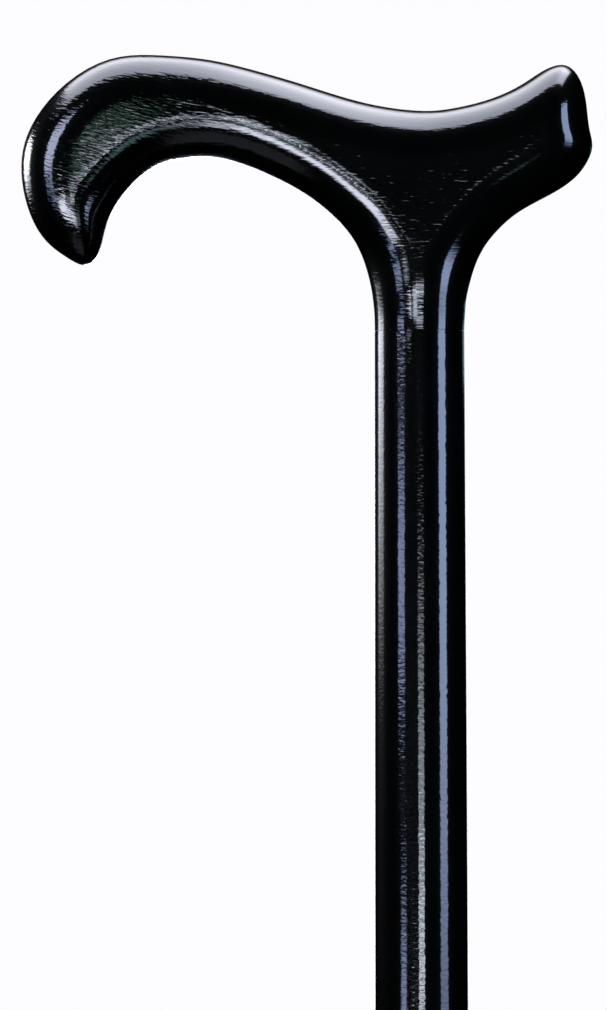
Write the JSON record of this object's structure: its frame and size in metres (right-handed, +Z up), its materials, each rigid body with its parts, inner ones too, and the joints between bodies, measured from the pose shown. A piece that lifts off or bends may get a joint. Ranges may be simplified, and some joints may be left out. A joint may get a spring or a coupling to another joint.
{
  "type": "derby handle cane",
  "caption": "Straight walking cane: a carved derby handle and a tapered wooden shaft in black lacquer, joined by a hidden stud, with a ribbed rubber foot that pulls off.",
  "frame": {"origin": "centre of the flat bottom of the rubber foot", "axes": "+Z up along the shaft, -X towards the nose of the handle, +X towards its tail"},
  "size_m": [0.1416, 0.037, 0.9201],
  "materials": {
    "black_lacquered_wood": "high-gloss black lacquer over open grain",
    "zinc_steel": "zinc plated",
    "black_rubber": "matt moulded rubber"
  },
  "bodies": {
    "cane": {"handle": "black_lacquered_wood", "shaft": "black_lacquered_wood", "joint_stud": "zinc_steel"},
    "ferrule": {"rubber_ferrule": "black_rubber", "ferrule_washer": "zinc_steel"}
  },
  "joints": [
    {"name": "ferrule_pull_off", "type": "slide", "parent": "cane", "child": "ferrule", "axis": [0, 0, -1], "range_m": [0, 0.045]}
  ]
}
